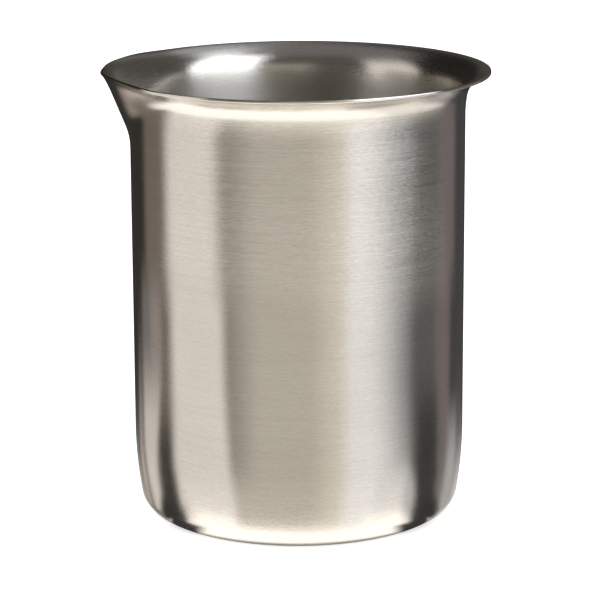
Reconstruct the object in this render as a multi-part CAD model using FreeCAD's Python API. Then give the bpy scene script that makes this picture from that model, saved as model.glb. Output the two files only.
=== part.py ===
"""Stainless-steel mixing beaker with a flared rim and a pouring spout.

The real thing is one deep-drawn sheet, so the model is one shell of constant thickness.
Millimetres, +Z up, origin at the centre of the underside of the flat base, spout towards -X.
The mirror plane is Y = 0.
"""
import FreeCAD, Part
import math
import os

# --- driving dimensions -----------------------------------------------------------------
HEIGHT = 115.6          # underside of the base to the top of the rim, away from the spout
BODY_DIAMETER = 86.0    # outside of the straight wall
SHEET = 0.8             # thickness of the drawn sheet

BASE_FLAT_DIAMETER = 72.4   # flat area that the beaker stands on
BASE_TUCK_RADIUS = 106.8    # gentle inward curve of the lowest part of the wall, outside
BASE_TUCK_ANGLE = 9.57      # how far that curve leans in, degrees

FLARE_LEAD_RADIUS = 30.5    # outside radius of the gentle curve that starts the flare
FLARE_LEAD_ANGLE = 9.9      # how far that curve leans out, degrees
FLARE_RADIUS = 6.6          # outside radius of the tight curve that turns the rim outwards
FLARE_SWEEP = 86.0          # how far the rim turns away from vertical in all, degrees

SPOUT_DROP = 16.6       # the spout's ridge leaves the wall this far below the rim
SPOUT_REACH = 0.8       # the spout's tip stands this far beyond the round rim
SPOUT_LEAN = 0.395      # outward run of the ridge per unit of height
SPOUT_FOOT_BLEND = 3.0  # the ridge eases out of the wall this far above and below its foot
LIP_CURL = 8            # how sharply the ridge curls out to the tip at the top
SPOUT_ROOT_ANGLE = 8.0  # half-angle of the spout where the ridge starts, degrees
SPOUT_LIP_ANGLE = 50.0  # half-angle of the spout at the rim, degrees
SPOUT_FULLNESS = 0.8    # 0 gives flat V flanks, 2 gives a round nose
SPOUT_NOSE = 0.12       # rounding of the ridge, as a share of the spout's half-angle

PINCH_ANGLE = 25.0      # the rim is drawn in most at this angle on each side of the tip, degrees
PINCH_SPAN = 22.0       # and not at all this much further round, degrees
PINCH_IN = 0.55         # how far the rim is drawn in there
RIM_RISE = 0.5          # how far the rim rises from there to the tip

# --- how finely the spout's surfaces are sampled -------------------------------------------
AROUND_STEPS = 120      # round the whole turn
WALL_STEPS = 12         # from the cylinder up to the start of the flare
LEAD_STEPS = 4          # over the gentle curve
FLARE_STEPS = 9         # over the tight curve
CYLINDER_TOP = 88.0     # the wall below this height is a plain cylinder
NUDGE = 1e-3            # step for reading the surface's direction, radians or sampled levels
SEW_TOLERANCE = 0.005

BODY_RADIUS = BODY_DIAMETER / 2
BASE_RADIUS = BASE_FLAT_DIAMETER / 2
TUCK = math.radians(BASE_TUCK_ANGLE)
LEAD = math.radians(FLARE_LEAD_ANGLE)
SWEEP = math.radians(FLARE_SWEEP)

# The flare's inner surface ends highest, so it sets the height.
LEAD_RISE = FLARE_LEAD_RADIUS * math.sin(LEAD)
LEAD_RUN = FLARE_LEAD_RADIUS * (1 - math.cos(LEAD))
RIM_HEIGHT = HEIGHT - SHEET * math.sin(SWEEP)
RIM_RADIUS = BODY_RADIUS + LEAD_RUN + FLARE_RADIUS * (math.cos(LEAD) - math.cos(SWEEP))
FLARE_START = RIM_HEIGHT - LEAD_RISE - FLARE_RADIUS * (math.sin(SWEEP) - math.sin(LEAD))
SPOUT_FOOT = RIM_HEIGHT - SPOUT_DROP

# The base corner is the arc that joins the flat base to the lower end of the tuck.
TUCK_FOOT_RADIUS = BODY_RADIUS - BASE_TUCK_RADIUS * (1 - math.cos(TUCK))
CORNER_RADIUS = (TUCK_FOOT_RADIUS - BASE_RADIUS) / math.cos(TUCK)
TUCK_FOOT_HEIGHT = CORNER_RADIUS * (1 - math.sin(TUCK))
TUCK_TOP_HEIGHT = TUCK_FOOT_HEIGHT + BASE_TUCK_RADIUS * math.sin(TUCK)


def vector(x, y, z):
    return FreeCAD.Vector(x, y, z)


# --- outer surface of the upper wall ---------------------------------------------------------
def plain_station(step):
    """Radius and height of the round outer surface at one level of the sampled upper wall."""
    if step <= WALL_STEPS:
        return BODY_RADIUS, CYLINDER_TOP + (FLARE_START - CYLINDER_TOP) * step / WALL_STEPS
    if step <= WALL_STEPS + LEAD_STEPS:
        angle = LEAD * (step - WALL_STEPS) / LEAD_STEPS
        radius = BODY_RADIUS + FLARE_LEAD_RADIUS * (1 - math.cos(angle))
        return radius, FLARE_START + FLARE_LEAD_RADIUS * math.sin(angle)
    angle = LEAD + (SWEEP - LEAD) * (step - WALL_STEPS - LEAD_STEPS) / FLARE_STEPS
    radius = BODY_RADIUS + LEAD_RUN + FLARE_RADIUS * (math.cos(LEAD) - math.cos(angle))
    return radius, FLARE_START + LEAD_RISE + FLARE_RADIUS * (math.sin(angle) - math.sin(LEAD))


def eased_rise(height):
    """Height above the spout's foot, eased in over the blend."""
    rise = height - SPOUT_FOOT
    if abs(rise) < SPOUT_FOOT_BLEND:
        return (rise + SPOUT_FOOT_BLEND) ** 2 / (4 * SPOUT_FOOT_BLEND)
    return max(0.0, rise)


def ridge_radius(height):
    """Radius of the spout's ridge, which leans straight out of the wall and ends in a small lip."""
    rise_share = eased_rise(height) / (RIM_HEIGHT - SPOUT_FOOT)
    lip = RIM_RADIUS + SPOUT_REACH - BODY_RADIUS - SPOUT_LEAN * (RIM_HEIGHT - SPOUT_FOOT)
    return BODY_RADIUS + SPOUT_LEAN * eased_rise(height) + lip * rise_share ** LIP_CURL


def spout_share(turn, height):
    """1 on the spout's ridge, falling to 0 where the flank meets the round wall."""
    rise = (height - SPOUT_FOOT) / (RIM_HEIGHT - SPOUT_FOOT)
    rise = min(1.0, max(0.0, rise))
    spread = math.sin(math.pi / 2 * rise) ** 2
    half_angle = SPOUT_ROOT_ANGLE + (SPOUT_LIP_ANGLE - SPOUT_ROOT_ANGLE) * spread
    across = min(1.0, abs(math.degrees(turn)) / half_angle)
    rounded = (math.hypot(across, SPOUT_NOSE) - SPOUT_NOSE) / (math.hypot(1, SPOUT_NOSE) - SPOUT_NOSE)
    return (1 - rounded) ** 2 * (1 + SPOUT_FULLNESS * rounded)


def rim_shift(turn, height):
    """How far in and how far up the rim is pressed beside the spout; it fades out down the flare."""
    flare_share = max(0.0, (height - FLARE_START) / (RIM_HEIGHT - FLARE_START)) ** 2
    beyond = (abs(math.degrees(turn)) - PINCH_ANGLE) / PINCH_SPAN
    pinch = math.cos(math.pi / 2 * min(1.0, abs(beyond))) ** 2
    rise = math.cos(math.pi / 2 * min(1.0, max(0.0, beyond))) ** 2
    return PINCH_IN * pinch * flare_share, RIM_RISE * rise * flare_share


def outer_point(turn, radius, height):
    """A point of the outer surface; turn is the angle round from the spout."""
    pressed_in, pressed_up = rim_shift(turn, height)
    bulge = spout_share(turn, height) * (ridge_radius(height) - radius)
    out = radius + bulge - pressed_in
    return vector(-out * math.cos(turn), out * math.sin(turn), height + pressed_up)


def sheet_point(turn, step, depth):
    """A point at a given depth into the sheet, square to the outer surface."""
    def outside(turn, step):
        return outer_point(turn, *plain_station(step))

    here = outside(turn, step)
    if depth == 0:
        return here
    around = outside(turn + NUDGE, step) - outside(turn - NUDGE, step)
    up = outside(turn, step + NUDGE) - outside(turn, step - NUDGE)
    inward = around.cross(up).normalize()
    if abs(math.sin(turn)) < NUDGE:
        inward.y = 0    # exactly square to the mirror plane there
    return here + inward * depth


def upper_face(depth):
    """The whole upper wall at a given depth: a surface that closes on itself behind the spout."""
    rings = []
    for step in range(WALL_STEPS + LEAD_STEPS + FLARE_STEPS + 1):
        turns = [2 * math.pi * i / AROUND_STEPS - math.pi for i in range(AROUND_STEPS)]
        ring = Part.BSplineCurve()
        ring.interpolate(Points=[sheet_point(turn, step, depth) for turn in turns],
                         Parameters=list(range(AROUND_STEPS + 1)), PeriodicFlag=True)
        rings.append(ring)
    columns = []
    for column_points in zip(*[ring.getPoles() for ring in rings]):
        column = Part.BSplineCurve()
        column.interpolate(Points=list(column_points), Parameters=list(range(len(rings))))
        columns.append(column)
    surface = Part.BSplineSurface()
    surface.buildFromPolesMultsKnots(
        [column.getPoles() for column in columns],
        rings[0].getMultiplicities(), columns[0].getMultiplicities(),
        rings[0].getKnots(), columns[0].getKnots(),
        True, False, rings[0].Degree, columns[0].Degree)
    return surface.toShape()


# --- base and lower wall ---------------------------------------------------------------------
def lower_faces(depth):
    """The base corner, tuck and cylinder at a given depth into the sheet."""
    corner = CORNER_RADIUS - depth
    tuck = BASE_TUCK_RADIUS - depth
    tuck_centre = BODY_RADIUS - BASE_TUCK_RADIUS

    def corner_at(angle):
        return vector(BASE_RADIUS + corner * math.cos(angle), 0, CORNER_RADIUS - corner * math.sin(angle))

    def tuck_at(angle):
        return vector(tuck_centre + tuck * math.cos(angle), 0, TUCK_TOP_HEIGHT - tuck * math.sin(angle))

    curves = [
        Part.Arc(corner_at(math.pi / 2), corner_at((math.pi / 2 + TUCK) / 2), corner_at(TUCK)),
        Part.Arc(tuck_at(TUCK), tuck_at(TUCK / 2), tuck_at(0)),
        Part.LineSegment(tuck_at(0), vector(BODY_RADIUS - depth, 0, CYLINDER_TOP)),
    ]
    return [curve.toShape().revolve(vector(0, 0, 0), vector(0, 0, 1), 360) for curve in curves]


def base_disc(height):
    return Part.Face(Part.Wire(Part.makeCircle(BASE_RADIUS, vector(0, 0, height))))


# --- the shell -------------------------------------------------------------------------------
def top_edge(face):
    """The edge of an upper face that lies along the rim."""
    return max(face.Edges, key=lambda edge: edge.BoundBox.ZMin)


def beaker_shell():
    outer, inner = upper_face(0), upper_face(SHEET)
    rim = Part.makeRuledSurface(top_edge(outer), top_edge(inner))
    faces = [outer, inner, rim, base_disc(0), base_disc(SHEET)] + lower_faces(0) + lower_faces(SHEET)
    sewn = Part.makeCompound(faces)
    sewn.sewShape(SEW_TOLERANCE)
    solid = Part.Solid(sewn.Shells[0])
    if solid.Volume < 0:
        solid.reverse()
    return solid


def main():
    os.makedirs("parts", exist_ok=True)
    parts = {"beaker_shell": beaker_shell()}
    for name, shape in parts.items():
        shape.exportStep("parts/" + name + ".step")
        box = shape.BoundBox
        print(name, shape.ShapeType, "valid", shape.isValid(), "solids", len(shape.Solids),
              "faces", len(shape.Faces), "volume %.0f" % shape.Volume,
              "x %.2f %.2f y %.2f %.2f z %.2f %.2f" % (box.XMin, box.XMax, box.YMin, box.YMax,
                                                      box.ZMin, box.ZMax))


main()
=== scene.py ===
"""Brushed-steel mixing beaker: the looks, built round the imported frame. Metres, +Z up, spout towards -X."""
import math

import bpy
import numpy as np
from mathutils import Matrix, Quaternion, Vector

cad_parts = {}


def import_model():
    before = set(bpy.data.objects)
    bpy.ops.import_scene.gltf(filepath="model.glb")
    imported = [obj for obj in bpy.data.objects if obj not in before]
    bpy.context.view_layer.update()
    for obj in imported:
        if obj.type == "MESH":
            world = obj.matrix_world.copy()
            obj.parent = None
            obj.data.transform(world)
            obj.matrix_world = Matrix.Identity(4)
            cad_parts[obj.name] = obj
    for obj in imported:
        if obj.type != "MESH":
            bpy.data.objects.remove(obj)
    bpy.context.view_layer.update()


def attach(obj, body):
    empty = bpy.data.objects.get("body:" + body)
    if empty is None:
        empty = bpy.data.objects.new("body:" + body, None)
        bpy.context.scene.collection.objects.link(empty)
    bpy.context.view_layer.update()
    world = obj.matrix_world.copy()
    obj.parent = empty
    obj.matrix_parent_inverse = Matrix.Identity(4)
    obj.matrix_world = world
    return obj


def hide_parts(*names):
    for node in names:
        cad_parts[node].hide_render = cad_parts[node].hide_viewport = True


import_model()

MM = 0.001
DEGREES = 180 / math.pi

# --- sizes of the drawn sheet, in metres, as the design has them --------------------------------
HEIGHT = 115.6 * MM
BODY_RADIUS = 43.0 * MM
SHEET = 0.8 * MM

BASE_RADIUS = 36.2 * MM
TUCK_RADIUS = 106.8 * MM
TUCK = math.radians(9.57)

LEAD_RADIUS = 30.5 * MM
LEAD = math.radians(9.9)
FLARE_RADIUS = 6.6 * MM
SWEEP = math.radians(86)

SPOUT_DROP = 16.6 * MM
SPOUT_REACH = 0.8 * MM
SPOUT_LEAN = 0.395
FOOT_BLEND = 3.0 * MM
LIP_CURL = 8
SPOUT_ROOT = math.radians(8)
SPOUT_LIP = math.radians(50)
SPOUT_FULLNESS = 0.8
SPOUT_NOSE = 0.12

PINCH_AT = math.radians(25)
PINCH_SPAN = math.radians(22)
PINCH_IN = 0.55 * MM
RIM_RISE = 0.5 * MM

LEAD_RISE = LEAD_RADIUS * math.sin(LEAD)
LEAD_RUN = LEAD_RADIUS * (1 - math.cos(LEAD))
RIM_HEIGHT = HEIGHT - SHEET * math.sin(SWEEP)
RIM_RADIUS = BODY_RADIUS + LEAD_RUN + FLARE_RADIUS * (math.cos(LEAD) - math.cos(SWEEP))
FLARE_START = RIM_HEIGHT - LEAD_RISE - FLARE_RADIUS * (math.sin(SWEEP) - math.sin(LEAD))
SPOUT_FOOT = RIM_HEIGHT - SPOUT_DROP

TUCK_FOOT_RADIUS = BODY_RADIUS - TUCK_RADIUS * (1 - math.cos(TUCK))
CORNER_RADIUS = (TUCK_FOOT_RADIUS - BASE_RADIUS) / math.cos(TUCK)
TUCK_FOOT_HEIGHT = CORNER_RADIUS * (1 - math.sin(TUCK))
TUCK_TOP_HEIGHT = TUCK_FOOT_HEIGHT + TUCK_RADIUS * math.sin(TUCK)

# --- mesh density ---------------------------------------------------------------------------------
AROUND = 384
EDGE_ROUND = 0.22 * MM   # radius of the cut edge's two corners
EDGE_STEPS = 5           # points round each of them

# The inside is duller than the rim; the change runs over these two heights.
INSIDE_DULL, INSIDE_BRIGHT = 105 * MM, 109 * MM
DULL, BRIGHT = 1.0, 0.15


def mesh_object(name, points, faces):
    mesh = bpy.data.meshes.new(name)
    mesh.from_pydata([tuple(p) for p in points], [], faces)
    mesh.update()
    obj = bpy.data.objects.new(name, mesh)
    bpy.context.scene.collection.objects.link(obj)
    return obj


# --- the beaker's surface ---------------------------------------------------------------------------
def meridian():
    """Radius and height of the round outer surface, from the middle of the base to the rim."""
    radii, heights = [], []

    def add(radius, height):
        radii.append(radius)
        heights.append(height)

    for share in np.linspace(0.02, 1, 16)[:-1]:
        add(BASE_RADIUS * share, 0.0)
    for angle in np.linspace(math.pi / 2, TUCK, 14)[:-1]:
        add(BASE_RADIUS + CORNER_RADIUS * math.cos(angle), CORNER_RADIUS * (1 - math.sin(angle)))
    for angle in np.linspace(TUCK, 0, 14)[:-1]:
        add(BODY_RADIUS - TUCK_RADIUS * (1 - math.cos(angle)),
            TUCK_TOP_HEIGHT - TUCK_RADIUS * math.sin(angle))
    for height in np.linspace(TUCK_TOP_HEIGHT, SPOUT_FOOT - FOOT_BLEND, 20)[:-1]:
        add(BODY_RADIUS, height)
    for height in np.linspace(SPOUT_FOOT - FOOT_BLEND, FLARE_START, 16)[:-1]:
        add(BODY_RADIUS, height)
    for angle in np.linspace(0, LEAD, 9)[:-1]:
        add(BODY_RADIUS + LEAD_RADIUS * (1 - math.cos(angle)), FLARE_START + LEAD_RADIUS * math.sin(angle))
    for angle in np.linspace(LEAD, SWEEP, 26):
        add(BODY_RADIUS + LEAD_RUN + FLARE_RADIUS * (math.cos(LEAD) - math.cos(angle)),
            FLARE_START + LEAD_RISE + FLARE_RADIUS * (math.sin(angle) - math.sin(LEAD)))
    return np.array(radii), np.array(heights)


def spout_share(turn, height):
    """1 on the spout's ridge, falling to 0 where the flank meets the round wall."""
    rise = np.clip((height - SPOUT_FOOT) / SPOUT_DROP, 0, 1)
    half_angle = SPOUT_ROOT + (SPOUT_LIP - SPOUT_ROOT) * np.sin(math.pi / 2 * rise) ** 2
    across = np.minimum(1, np.abs(turn) / half_angle)
    rounded = (np.hypot(across, SPOUT_NOSE) - SPOUT_NOSE) / (math.hypot(1, SPOUT_NOSE) - SPOUT_NOSE)
    return (1 - rounded) ** 2 * (1 + SPOUT_FULLNESS * rounded)


def ridge_radius(height):
    """Radius of the spout's ridge, which leans straight out of the wall and ends in a small lip."""
    rise = height - SPOUT_FOOT
    eased = np.where(np.abs(rise) < FOOT_BLEND, (rise + FOOT_BLEND) ** 2 / (4 * FOOT_BLEND),
                     np.maximum(0, rise))
    lip = RIM_RADIUS + SPOUT_REACH - BODY_RADIUS - SPOUT_LEAN * SPOUT_DROP
    return BODY_RADIUS + SPOUT_LEAN * eased + lip * (eased / SPOUT_DROP) ** LIP_CURL


def outer_surface(turn, radius, height):
    """Points of the outer surface. turn is the angle round from the spout."""
    flare_share = np.maximum(0, (height - FLARE_START) / (RIM_HEIGHT - FLARE_START)) ** 2
    beyond = (np.abs(turn) - PINCH_AT) / PINCH_SPAN
    pinch = np.cos(math.pi / 2 * np.minimum(1, np.abs(beyond))) ** 2
    rise = np.cos(math.pi / 2 * np.clip(beyond, 0, 1)) ** 2
    above_foot = height > SPOUT_FOOT - FOOT_BLEND
    bulge = np.where(above_foot, spout_share(turn, height) * (ridge_radius(height) - radius), 0)
    out = radius + bulge - PINCH_IN * pinch * flare_share
    up = height + RIM_RISE * rise * flare_share
    return np.stack([-out * np.cos(turn), out * np.sin(turn), up], axis=-1)


def inward_normals(points):
    """Unit normals, into the sheet, of a grid of points laid out as [level, turn, xyz]."""
    around = np.roll(points, -1, axis=1) - np.roll(points, 1, axis=1)
    up = np.gradient(points, axis=0)
    normals = np.cross(around, up)
    normals /= np.linalg.norm(normals, axis=-1, keepdims=True)
    return normals


def beaker():
    """One closed sheet: up the outside from the middle of the base, over the rim, down the inside."""
    radii, heights = meridian()
    turns = np.linspace(-math.pi, math.pi, AROUND, endpoint=False)
    turn, radius = np.meshgrid(turns, radii)
    _, height = np.meshgrid(turns, heights)
    outer = outer_surface(turn, radius, height)
    inward = inward_normals(outer)
    inner = outer + SHEET * inward

    # the cut edge of the sheet, with its two corners rounded
    along = outer[-1] - outer[-2]
    along /= np.linalg.norm(along, axis=-1, keepdims=True)
    quarter = np.linspace(0, math.pi / 2, EDGE_STEPS)
    corner = [(EDGE_ROUND * (1 - math.cos(angle)), EDGE_ROUND * (1 - math.sin(angle))) for angle in quarter]
    corners = corner + [(SHEET - depth, back) for depth, back in reversed(corner)]
    edge = [outer[-1] + inward[-1] * depth - along * back for depth, back in corners]
    rings = np.concatenate([outer[:-1], np.array(edge), inner[:-1][::-1]])

    levels = len(rings)
    points = list(rings.reshape(-1, 3))
    faces = []
    for level in range(levels - 1):
        for i in range(AROUND):
            j = (i + 1) % AROUND
            low, high = level * AROUND, (level + 1) * AROUND
            faces.append((low + i, low + j, high + j, high + i))
    for level, flip in ((0, True), (levels - 1, False)):
        centre = len(points)
        points.append(rings[level].mean(axis=0))
        for i in range(AROUND):
            a, b = level * AROUND + i, level * AROUND + (i + 1) % AROUND
            faces.append((centre, b, a) if flip else (centre, a, b))
    obj = mesh_object("beaker_shell_drawn", points, faces)
    obj.data.shade_smooth()
    lay_uv(obj, levels)
    mark_inside(obj, points, first=(len(outer) - 1 + len(edge)) * AROUND, base_centre=levels * AROUND)
    return obj


def mark_inside(obj, points, first, base_centre):
    """An attribute that tells the steel how dull it is: 0 outside, and up to 1 deep inside."""
    values = [0.0 if i < first or i == base_centre
              else np.interp(point[2], (INSIDE_DULL, INSIDE_BRIGHT), (DULL, BRIGHT))
              for i, point in enumerate(points)]
    obj.data.attributes.new("inside", "FLOAT", "POINT").data.foreach_set("value", values)


def lay_uv(obj, levels):
    """U runs round the beaker, and V along the sheet, from the base over the rim to the inside."""
    margin = 0.002
    layer = obj.data.uv_layers.new(name="OFBake")
    count = AROUND * levels
    for polygon in obj.data.polygons:
        columns = [i % AROUND for i in polygon.vertices if i < count]
        wraps = max(columns) - min(columns) > 1
        for loop in polygon.loop_indices:
            vertex = obj.data.loops[loop].vertex_index
            if vertex >= count:
                u, v = sum(columns) / len(columns), (0 if vertex == count else levels - 1)
            else:
                u, v = vertex % AROUND, vertex // AROUND
                if wraps and u == 0:
                    u = AROUND
            shares = u / AROUND, v / (levels - 1)
            layer.data[loop].uv = [margin + (1 - 2 * margin) * share for share in shares]


shell = beaker()
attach(shell, "root")
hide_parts("beaker_shell")


# --- materials ----------------------------------------------------------------------------------------
class Nodes:
    """Small helper that adds nodes to a material or world and links them."""

    def __init__(self, tree):
        self.tree = tree
        tree.nodes.clear()

    def add(self, kind, inputs=(), **settings):
        node = self.tree.nodes.new(kind)
        for name, value in settings.items():
            setattr(node, name, value)
        for key, value in dict(inputs).items():
            if isinstance(value, bpy.types.NodeSocket):
                self.tree.links.new(value, node.inputs[key])
            else:
                node.inputs[key].default_value = value
        return node

    def math(self, operation, *values):
        return self.add("ShaderNodeMath", dict(enumerate(values)), operation=operation).outputs[0]

    def smooth(self, value, low, high, to_low=0.0, to_high=1.0):
        node = self.add("ShaderNodeMapRange", {"Value": value, "From Min": low, "From Max": high,
                                               "To Min": to_low, "To Max": to_high},
                        interpolation_type="SMOOTHSTEP")
        return node.outputs[0]

    def rises(self, value, edge, soft):
        """0 below the edge and 1 above it; soft is half the width of the change."""
        return self.smooth(value, edge - soft, edge + soft)

    def falls(self, value, edge, soft):
        return self.smooth(value, edge - soft, edge + soft, 1.0, 0.0)

    def both(self, *masks):
        """Product of the masks."""
        product = masks[0]
        for mask in masks[1:]:
            product = self.math("MULTIPLY", product, mask)
        return product

    def blend(self, mask, under, over):
        return self.add("ShaderNodeMix", {0: mask, 6: under, 7: over}, data_type="RGBA").outputs[2]


def new_material(name):
    material = bpy.data.materials.new(name)
    material.use_nodes = True
    return material, Nodes(material.node_tree)


def brushed_steel():
    material, n = new_material("brushed_steel")
    place = n.add("ShaderNodeTexCoord").outputs["Object"]
    apart = n.add("ShaderNodeSeparateXYZ", {0: place})
    flat = n.add("ShaderNodeCombineXYZ", {"X": apart.outputs["X"], "Y": apart.outputs["Y"]}).outputs[0]
    radius = n.add("ShaderNodeVectorMath", {0: flat}, operation="LENGTH").outputs["Value"]
    around = n.add("ShaderNodeVectorMath", {0: flat}, operation="NORMALIZE").outputs["Vector"]
    along = n.math("ADD", apart.outputs["Z"], radius)
    apart_around = n.add("ShaderNodeSeparateXYZ", {0: around})

    def streaks(length, spacing, detail, seed):
        """Noise stretched round the beaker, with the length and spacing in millimetres."""
        per_turn = BODY_RADIUS / MM / length
        vector = n.add("ShaderNodeCombineXYZ", {
            "X": n.math("MULTIPLY", apart_around.outputs["X"], per_turn),
            "Y": n.math("MULTIPLY", apart_around.outputs["Y"], per_turn),
            "Z": n.math("MULTIPLY_ADD", along, 1 / (spacing * MM), seed),
        }).outputs[0]
        return n.add("ShaderNodeTexNoise", {"Vector": vector, "Scale": 1.0, "Detail": detail,
                                            "Roughness": 0.6}).outputs["Fac"]

    # brushing: short grains, long hair lines, bundles of lines and wide tonal bands, all running round
    grain = n.smooth(streaks(1.25, 0.20, 2, 0), 0.30, 0.70)
    hair = n.smooth(streaks(22, 0.24, 3, 40), 0.30, 0.70)
    bundle = n.smooth(streaks(8, 0.9, 3, 70), 0.30, 0.70)
    band = n.smooth(streaks(60, 5.0, 2, 90), 0.34, 0.66)
    brushing = n.math("ADD", n.math("MULTIPLY_ADD", hair, 0.30, n.math("MULTIPLY", grain, 0.50)),
                      n.math("MULTIPLY_ADD", bundle, 0.12, n.math("MULTIPLY", band, 0.10)))

    # soft smudges, and a few marks that lie along the brushing
    cloud = n.add("ShaderNodeTexNoise", {"Vector": place, "Scale": 55.0, "Detail": 3.0}).outputs["Fac"]
    smudge = n.smooth(cloud, 0.35, 0.75)
    marks = n.smooth(streaks(7, 1.6, 1, 130), 0.68, 0.80)
    stain = n.math("MULTIPLY_ADD", smudge, 0.10, n.math("MULTIPLY", marks, 0.14))

    inside = n.add("ShaderNodeAttribute", attribute_name="inside").outputs["Fac"]
    roughness = n.math("MULTIPLY_ADD", brushing, 0.10, n.math("MULTIPLY_ADD", smudge, 0.04, 0.13))
    roughness = n.math("MULTIPLY_ADD", inside, 0.22, roughness)
    tone = n.blend(brushing, (0.607, 0.570, 0.519, 1), (0.718, 0.683, 0.631, 1))
    stained = n.blend(stain, tone, (0.45, 0.40, 0.35, 1))
    bump = n.add("ShaderNodeBump", {"Height": brushing, "Strength": 0.36, "Distance": 0.00003}).outputs[0]
    shader = n.add("ShaderNodeBsdfPrincipled", {
        "Base Color": stained, "Metallic": 1.0, "Roughness": roughness,
        "Anisotropic": 0.85, "Anisotropic Rotation": 0.25, "Normal": bump})
    n.add("ShaderNodeOutputMaterial", {"Surface": shader.outputs[0]})
    return material


shell.data.materials.append(brushed_steel())


# --- floor, studio and camera -----------------------------------------------------------------------------
def floor():
    """A plain pale floor. The beaker doesn't reflect it: the card and the dome stand in for it there."""
    size = 3.0
    obj = mesh_object("floor", [(-size, -size, 0), (size, -size, 0), (size, size, 0), (-size, size, 0)],
                      [(0, 1, 2, 3)])
    obj.location.z = -0.1 * MM
    material, n = new_material("pale_floor")
    shader = n.add("ShaderNodeBsdfPrincipled", {"Base Color": (0.9, 0.9, 0.9, 1), "Roughness": 0.9,
                                                "Specular IOR Level": 0.0, "Emission Color": (1, 1, 1, 1),
                                                "Emission Strength": 0.6})
    n.add("ShaderNodeOutputMaterial", {"Surface": shader.outputs[0]})
    obj.data.materials.append(material)
    obj.visible_glossy = False
    return obj


DOME_RADIUS = 0.45
DOME_CENTRE = 0.06   # height of its middle
CEILING = (0.208, 0.198, 0.203)
WARM, CREAM = (1.0, 0.950, 0.845), (1.0, 0.97, 0.925)
NEUTRAL, COOL = (0.985, 0.985, 1.0), (0.93, 0.98, 1.045)
BROWN, ROSE = (1.17, 1.0, 0.905), (1.13, 0.975, 0.995)

# The lights and dark screens on the studio dome, painted one over the other. Azimuth is 0 at -Y and
# grows towards +X. Each panel has a name, its left edge (azimuth at the horizon, shift per degree of
# elevation, softness), its right edge (the same), its lower end and its upper end (elevation,
# softness), all in degrees, and then its brightness and its colour.
PANELS = [
    ("front", (-60, 0, 5), (34, 0, 8), (-200, 1), (7, 8), 0.65, WARM),
    ("front_right", (16, 0, 12), (40, 0, 8), (-200, 1), (7, 8), 0.86, WARM),
    ("front_dim", (-60, 0, 5), (-37, 0, 14), (-26, 3), (7, 8), 0.36, WARM),
    ("front_above", (-54, 0, 6), (32, 0, 8), (12, 8), (64, 8), 0.11, WARM),
    ("centre_above", (-12, 0, 10), (34, 0, 8), (12, 5), (26, 5), 0.65, WARM),
    ("right_fill", (50, 0, 10), (110, 0, 8), (-200, 1), (24, 16), 0.19, COOL),
    ("right_box", (31, 0, 7), (58.5, -0.55, 24), (-200, 1), (24, 16), 1.10, NEUTRAL),
    ("left_fill", (-135, 0, 6), (-92, 0, 6), (-200, 1), (6, 6), 0.19, BROWN),
    ("right_wing", (90, 0, 6), (160, 0, 8), (59, 5), (73, 4), 1.10, COOL),
    ("back_left_dark", (-220, 0, 1), (-101, 0, 5), (4, 6), (53, 8), 0.02, WARM),
    ("back_right_dark", (92, 0, 5), (158, 0, 8), (22, 8), (56, 4), 0.09, WARM),
    ("right_wing_end", (242, -1.65, 4), (263, -1.65, 6), (30, 4), (66, 5), 0.50, COOL),
    ("back_far_dark", (150, 0, 5), (220, 0, 1), (6, 4), (33, 5), 0.08, WARM),
    ("right_box_high", (32, 0, 4), (82, 0.2, 4), (9, 8), (66, 5), 2.60, COOL),
    ("left_box_high", (-99, 0, 5), (-51, -0.13, 4), (4, 4), (44, 14), 1.05, CREAM),
    ("left_box", (-97.6, -0.02, 7), (-57.5, -0.4, 5), (-200, 1), (4, 4), 0.97, CREAM),
    ("right_box_low", (54, 0, 6), (83, 0, 6), (-200, 1), (-26, 3), 0.95, NEUTRAL),
    ("right_side", (84, 0, 6), (132, 0, 5), (-200, 1), (8, 8), 0.14, NEUTRAL),
    ("right_side_light", (108, 0, 5), (130, 0, 4), (-200, 1), (8, 8), 0.195, ROSE),
    ("right_low_dark", (89, 0, 5), (112, 0, 5), (-200, 1), (-18, 4), 0.06, NEUTRAL),
    ("right_back_dark", (131, 0, 4), (220, 0, 1), (-200, 1), (12, 6), 0.07, NEUTRAL),
    ("left_back_dark", (-220, 0, 1), (-125, 0, 5), (-200, 1), (8, 6), 0.04, WARM),
    ("left_low_dark", (-114, 0, 4), (-99, 0, 5), (-200, 1), (-21.3, 4), 0.06, WARM),
    ("back_right_black", (160, 0, 6), (220, 0, 1), (-17, 4), (12, 5), 0.02, WARM),
    ("back_left_black", (-220, 0, 1), (-160, 0, 6), (-17, 4), (12, 5), 0.02, WARM),
    ("right_low", (128.5, 0, 5), (156, 0, 6), (-200, 1), (-23, 5), 0.49, NEUTRAL),
]

# What only the foot and the lower wall reflect, laid out like PANELS.
NEAR_FOOT = [
    ("left_low", (-141, 0, 4), (-97.5, 0.8, 4), (-200, 1), (-17, 7), 0.78, CREAM),
    ("left_box_foot", (-91.5, 0, 5.5), (-78, 0, 4), (-200, 1), (-28, 2), 1.02, CREAM),
    ("right_box_foot", (79, 0, 4), (51, -1.33, 5.5), (-200, 1), (-27, 2), 0.68, NEUTRAL),
]

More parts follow.
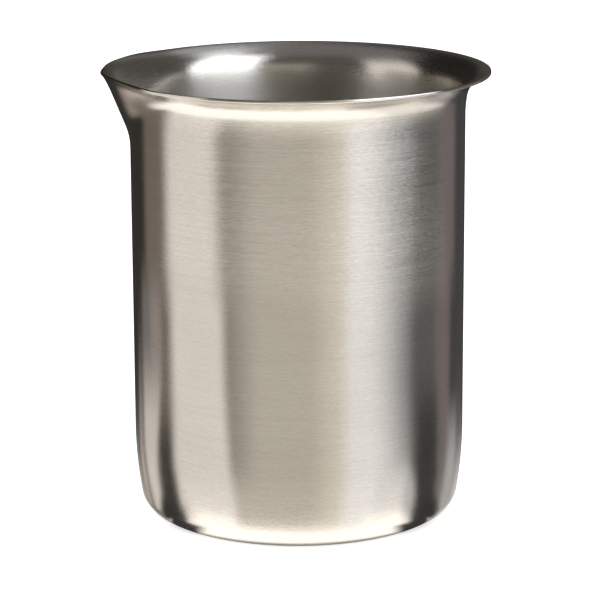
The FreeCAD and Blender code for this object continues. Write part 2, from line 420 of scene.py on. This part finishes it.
# The white floor round the beaker, as the flared rim reflects it, laid out like PANELS.
FLOOR_GLOW = [
    ("left_floor_edge", (-144, 0, 3), (-112, 0, 5), (-36, 4), (-18, 4), 0.20, BROWN),
    ("spout_glow", (-146, 0, 3), (-131, 0, 3), (-31, 4), (-20, 5), 0.62, BROWN),
    ("far_floor", (-220, 0, 1), (220, 0, 1), (-200, 1), (-40, 5), 1.00, CREAM),
    ("front_floor", (-95, 0.9, 5), (70, 0, 6), (-200, 1), (-22.5, 3), 1.75, CREAM),
    ("right_floor", (70, 0, 6), (121, 0, 4), (-200, 1), (-17.5, 4), 1.25, CREAM),
    ("back_right_floor", (150, 0, 6), (220, 0, 1), (-200, 1), (-24, 5), 0.95, CREAM),
    ("back_left_floor", (-220, 0, 1), (-152, 0, 6), (-200, 1), (-24, 6), 0.90, CREAM),
    ("near_floor", (-220, 0, 1), (220, 0, 1), (-200, 1), (-60, 8), 2.50, CREAM),
]


def only_in_reflections(obj):
    obj.visible_camera = False
    obj.visible_shadow = False
    obj.visible_diffuse = False


def azimuth_of(n, x, y):
    """Angle round from -Y towards +X, in degrees."""
    return n.math("MULTIPLY", n.math("ARCTAN2", x, n.math("MULTIPLY", y, -1.0)), DEGREES)


def paint(n, azimuth, elevation, panels):
    """Colour of the studio in one direction, with the panels laid over each other in order."""
    light = n.add("ShaderNodeRGB").outputs[0]
    light.default_value = (*CEILING, 1)
    for name, left, right, lower, upper, brightness, colour in panels:
        from_left = n.math("MULTIPLY_ADD", elevation, -left[1], azimuth)
        from_right = n.math("MULTIPLY_ADD", elevation, -right[1], azimuth)
        mask = n.both(n.rises(from_left, left[0], left[2]), n.falls(from_right, right[0], right[2]),
                      n.rises(elevation, *lower), n.falls(elevation, *upper))
        light = n.blend(mask, light, (*(brightness * c for c in colour), 1))
    return light


def dome():
    """A large dome round the beaker that is seen only in its reflections."""
    bpy.ops.mesh.primitive_uv_sphere_add(segments=96, ring_count=48, radius=DOME_RADIUS)
    obj = bpy.context.object
    obj.name = "studio_dome"
    obj.location = (0, 0, DOME_CENTRE)
    material, n = new_material("studio_dome")
    apart = n.add("ShaderNodeSeparateXYZ", {0: n.add("ShaderNodeTexCoord").outputs["Object"]})
    x, y, z = (apart.outputs[axis] for axis in "XYZ")
    elevation = n.math("MULTIPLY", n.math("ARCSINE", n.math("DIVIDE", z, DOME_RADIUS)), DEGREES)
    light = paint(n, azimuth_of(n, x, y), elevation, PANELS + FLOOR_GLOW)
    emission = n.add("ShaderNodeEmission", {"Color": light, "Strength": 1.0})
    n.add("ShaderNodeOutputMaterial", {"Surface": emission.outputs[0]})
    obj.data.materials.append(material)
    only_in_reflections(obj)
    return obj


SCREEN_RADIUS = 54.5 * MM
SCREEN_BOTTOM, SCREEN_TOP = -12 * MM, 72 * MM
SCREEN_END = math.radians(100)


def foot_screen():
    """A low screen round the foot, as painted shade of the floor near it. It shows the lower wall the studio
    without the glow of the floor.
    """
    count = 90
    turns = np.linspace(-SCREEN_END, SCREEN_END, count + 1)
    low = [(SCREEN_RADIUS * math.sin(t), -SCREEN_RADIUS * math.cos(t), SCREEN_BOTTOM) for t in turns]
    high = [(x, y, SCREEN_TOP) for x, y, _ in low]
    faces = [(i, i + 1, count + 2 + i, count + 1 + i) for i in range(count)]
    obj = mesh_object("foot_screen", low + high, faces)
    material, n = new_material("foot_screen")
    apart = n.add("ShaderNodeSeparateXYZ", {0: n.add("ShaderNodeTexCoord").outputs["Object"]})
    x, y, z = (apart.outputs[axis] for axis in "XYZ")
    turn = azimuth_of(n, x, y)
    aside = n.math("ABSOLUTE", turn)
    # a ray that leaves the wall and crosses the screen at this turn goes on to this part of the dome
    azimuth = n.math("MULTIPLY", turn, n.math("MULTIPLY_ADD", aside, -0.0011, 1.66))
    elevation = n.smooth(z, -0.006, 0.048, -31.0, -14.5)
    light = paint(n, azimuth, elevation, PANELS + NEAR_FOOT)
    # low down on each side a dark gap is painted on the screen: painted shade of the floor beside the foot
    gap_shade = n.both(n.rises(aside, 61.5, 4), n.falls(aside, 73, 2.5), n.falls(z, 0.010, 0.003))
    light = n.blend(gap_shade, light, (0.06, 0.058, 0.055, 1))
    strength = n.smooth(z, 0.002, 0.018, 1.12, 1.0)
    emission = n.add("ShaderNodeEmission", {"Color": light, "Strength": strength}).outputs[0]
    clear = n.add("ShaderNodeBsdfTransparent").outputs[0]
    # the screen fades out at its top and at its two ends
    seen = n.both(n.falls(z, 0.060, 0.010), n.falls(aside, 94, 4))
    surface = n.add("ShaderNodeMixShader", {0: seen, 1: clear, 2: emission}).outputs[0]
    n.add("ShaderNodeOutputMaterial", {"Surface": surface})
    obj.data.materials.append(material)
    only_in_reflections(obj)
    return obj


def base_card():
    """What the foot of the beaker reflects, painted on a card: bright paper just in front as a painted
    reflection, and painted shade, a dark wedge, on each side.
    """
    size, count = 0.21, 64
    turns = [2 * math.pi * i / count for i in range(count)]
    rim = [(size * math.cos(t), size * math.sin(t), 0) for t in turns]
    obj = mesh_object("base_card", rim, [tuple(range(count))])
    obj.location.z = -1 * MM
    material, n = new_material("base_card")
    place = n.add("ShaderNodeTexCoord").outputs["Object"]
    apart = n.add("ShaderNodeSeparateXYZ", {0: place})
    x, y = apart.outputs["X"], apart.outputs["Y"]
    turn = n.math("ABSOLUTE", azimuth_of(n, x, y))
    distance = n.add("ShaderNodeVectorMath", {0: place}, operation="LENGTH").outputs["Value"]
    aside = n.math("ABSOLUTE", x)

    # the bright paper reaches further out towards the sides than in the middle
    reach = n.math("SUBTRACT", distance, n.smooth(turn, 24.0, 38.0, 0.0, 0.0055))
    bright = n.both(n.falls(turn, 49.5, 4.5), n.falls(reach, 0.0513, 0.0022))
    # painted shade round the foot: a dark wedge outwards from each side of the foot, a dark patch close
    # beside it, and the shade under it
    wedge_end = n.math("MULTIPLY_ADD", aside, -0.33, y)
    wedge = n.both(n.rises(y, -0.029, 0.0025), n.falls(wedge_end, -0.0287, 0.003),
                   n.falls(distance, 0.070, 0.010), n.rises(aside, 0.036, 0.002))
    beside = n.both(n.rises(turn, 41, 5), n.falls(turn, 60.5, 2), n.falls(distance, 0.0456, 0.0014))
    under = n.falls(distance, 0.0395, 0.0012)
    shade = n.math("MAXIMUM", n.math("MAXIMUM", wedge, beside), n.math("MULTIPLY", under, 0.85))
    # glow is the painted reflection of the lit floor, dark is the painted shade
    glow = n.add("ShaderNodeEmission", {"Color": (*CREAM, 1), "Strength": 1.9}).outputs[0]
    dark = n.add("ShaderNodeEmission", {"Color": (*CREAM, 1), "Strength": 0.05}).outputs[0]
    clear = n.add("ShaderNodeBsdfTransparent").outputs[0]
    surface = n.add("ShaderNodeMixShader", {0: bright, 1: clear, 2: glow}).outputs[0]
    surface = n.add("ShaderNodeMixShader", {0: shade, 1: surface, 2: dark}).outputs[0]
    n.add("ShaderNodeOutputMaterial", {"Surface": surface})
    obj.data.materials.append(material)
    only_in_reflections(obj)
    return obj


def world():
    """White all round for the floor and the backdrop."""
    studio = bpy.data.worlds.new("studio")
    bpy.context.scene.world = studio
    studio.use_nodes = True
    n = Nodes(studio.node_tree)
    white = n.add("ShaderNodeBackground", {"Color": (1, 1, 1, 1), "Strength": 1.0}).outputs[0]
    n.add("ShaderNodeOutputWorld", {"Surface": white})


def camera():
    """The camera stands in front of the beaker and above its rim."""
    distance, elevation, aim_height = 0.700, math.radians(13.74), 0.0561
    focal_share = 2686 / 590
    roll, yaw = 0.0050, -0.0013
    data = bpy.data.cameras.new("camera")
    data.sensor_fit = "HORIZONTAL"
    data.sensor_width = 36.0
    data.lens = focal_share * data.sensor_width
    obj = bpy.data.objects.new("camera", data)
    bpy.context.scene.collection.objects.link(obj)
    obj.location = (0, -distance * math.cos(elevation), aim_height + distance * math.sin(elevation))
    look = Vector((math.sin(yaw) * math.cos(elevation), math.cos(yaw) * math.cos(elevation),
                   -math.sin(elevation)))
    obj.rotation_mode = "QUATERNION"
    obj.rotation_quaternion = Quaternion(look, roll) @ look.to_track_quat("-Z", "Y")
    bpy.context.scene.camera = obj


floor()
dome()
base_card()
foot_screen()
world()
camera()
bpy.context.scene.view_settings.view_transform = "Standard"
